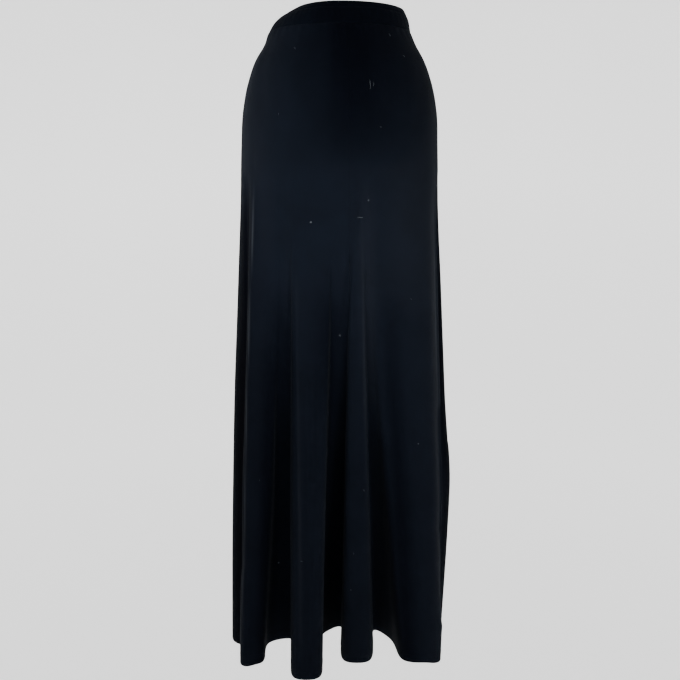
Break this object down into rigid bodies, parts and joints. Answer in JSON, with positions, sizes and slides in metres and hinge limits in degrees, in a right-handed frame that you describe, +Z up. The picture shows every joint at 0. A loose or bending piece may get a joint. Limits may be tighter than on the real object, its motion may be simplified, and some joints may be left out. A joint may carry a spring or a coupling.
{
  "type": "maxi skirt",
  "caption": "Long flared pull-on knit skirt in its worn, filled-out form, with a narrow elastic waistband and soft hanging folds down to an open hem.",
  "frame": {"origin": "centre of the waistband at half its height, where the wearer's waist holds the skirt up", "axes": "+Z up along the skirt, the front of the skirt faces -Y, +X is to the right as the front is seen"},
  "size_m": [0.3885, 0.282, 1.0561],
  "materials": {
    "front_knit": "fine black jersey knit, matt with a faint sheen at grazing angles",
    "back_knit": "fine black jersey knit, matt with a faint sheen at grazing angles",
    "band_knit": "black jersey knit, doubled over an elastic"
  },
  "bodies": {
    "root": {"front_panel": "front_knit", "back_panel": "back_knit", "waistband": "band_knit"}
  },
  "joints": []
}
